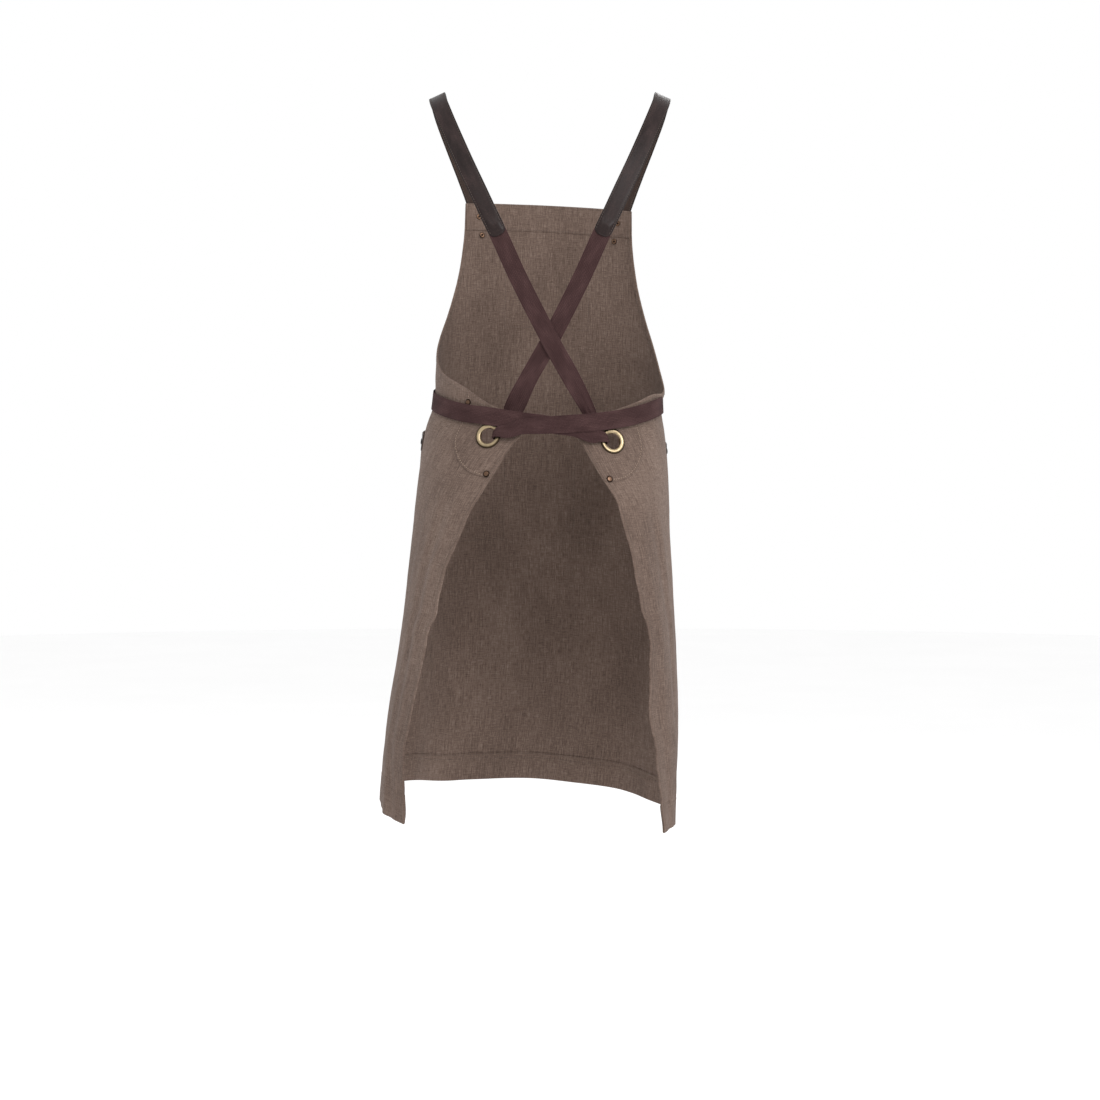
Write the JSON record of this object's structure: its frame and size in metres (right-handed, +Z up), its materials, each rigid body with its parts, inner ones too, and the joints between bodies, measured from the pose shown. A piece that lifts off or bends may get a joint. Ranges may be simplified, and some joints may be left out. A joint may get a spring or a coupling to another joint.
{
  "type": "butcher apron",
  "caption": "Cross-back butcher apron with a bib, wrap-round skirt, leather shoulder straps, webbing ties through rear eyelets, pockets and a front bow.",
  "frame": {"origin": "midway between the undersides of the two straps at the tops of the shoulders", "axes": "+Z up; the wearer faces -Y; +X is the wearer's left"},
  "size_m": [0.4244, 0.3016, 1.0501],
  "materials": {
    "apron_cloth": "matt warm taupe brown heathered twill, washed soft",
    "dark_leather": "dark brown leather with a soft sheen, stitched near its edges",
    "strap_lining": "dark brown leather, flesh side",
    "eyelet_brass": "antique brass, pale where worn",
    "rivet_brass": "antique brass, darkened at the rim",
    "webbing": "dark aubergine brown woven cotton webbing with fine ribs"
  },
  "bodies": {
    "apron": {"apron_panel": "apron_cloth", "bib_facing": "apron_cloth", "hem_facing": "apron_cloth", "corner_patch_left": "apron_cloth", "corner_patch_right": "apron_cloth", "eyelet_left": "eyelet_brass", "eyelet_right": "eyelet_brass", "eyelet_washer_left": "eyelet_brass", "eyelet_washer_right": "eyelet_brass", "patch_rivets_left": "rivet_brass", "patch_rivets_right": "rivet_brass", "strap_leather_left": "dark_leather", "strap_leather_right": "dark_leather", "strap_lining_left": "strap_lining", "strap_lining_right": "strap_lining", "strap_rivets_left": "rivet_brass", "strap_rivets_right": "rivet_brass", "webbing_left": "webbing", "webbing_right": "webbing", "hip_pocket_left": "apron_cloth", "hip_pocket_right": "apron_cloth", "hip_pocket_trim_left": "dark_leather", "hip_pocket_trim_right": "dark_leather", "hip_pocket_rivets_left": "rivet_brass", "hip_pocket_rivets_right": "rivet_brass", "chest_pocket": "apron_cloth", "chest_pocket_trim": "dark_leather", "chest_pocket_rivets": "rivet_brass", "tie_knot": "webbing", "bow_loop_left": "webbing", "bow_loop_right": "webbing"},
    "left_tail": {"tie_tail_left": "webbing"},
    "right_tail": {"tie_tail_right": "webbing"}
  },
  "joints": [
    {"name": "left_tail_swing", "type": "hinge", "parent": "apron", "child": "left_tail", "pos_m": [0.006, -0.122, -0.408], "axis": [0, -1, 0], "range_deg": [-35, 35]},
    {"name": "right_tail_swing", "type": "hinge", "parent": "apron", "child": "right_tail", "pos_m": [-0.006, -0.122, -0.408], "axis": [0, -1, 0], "range_deg": [-35, 35]}
  ]
}
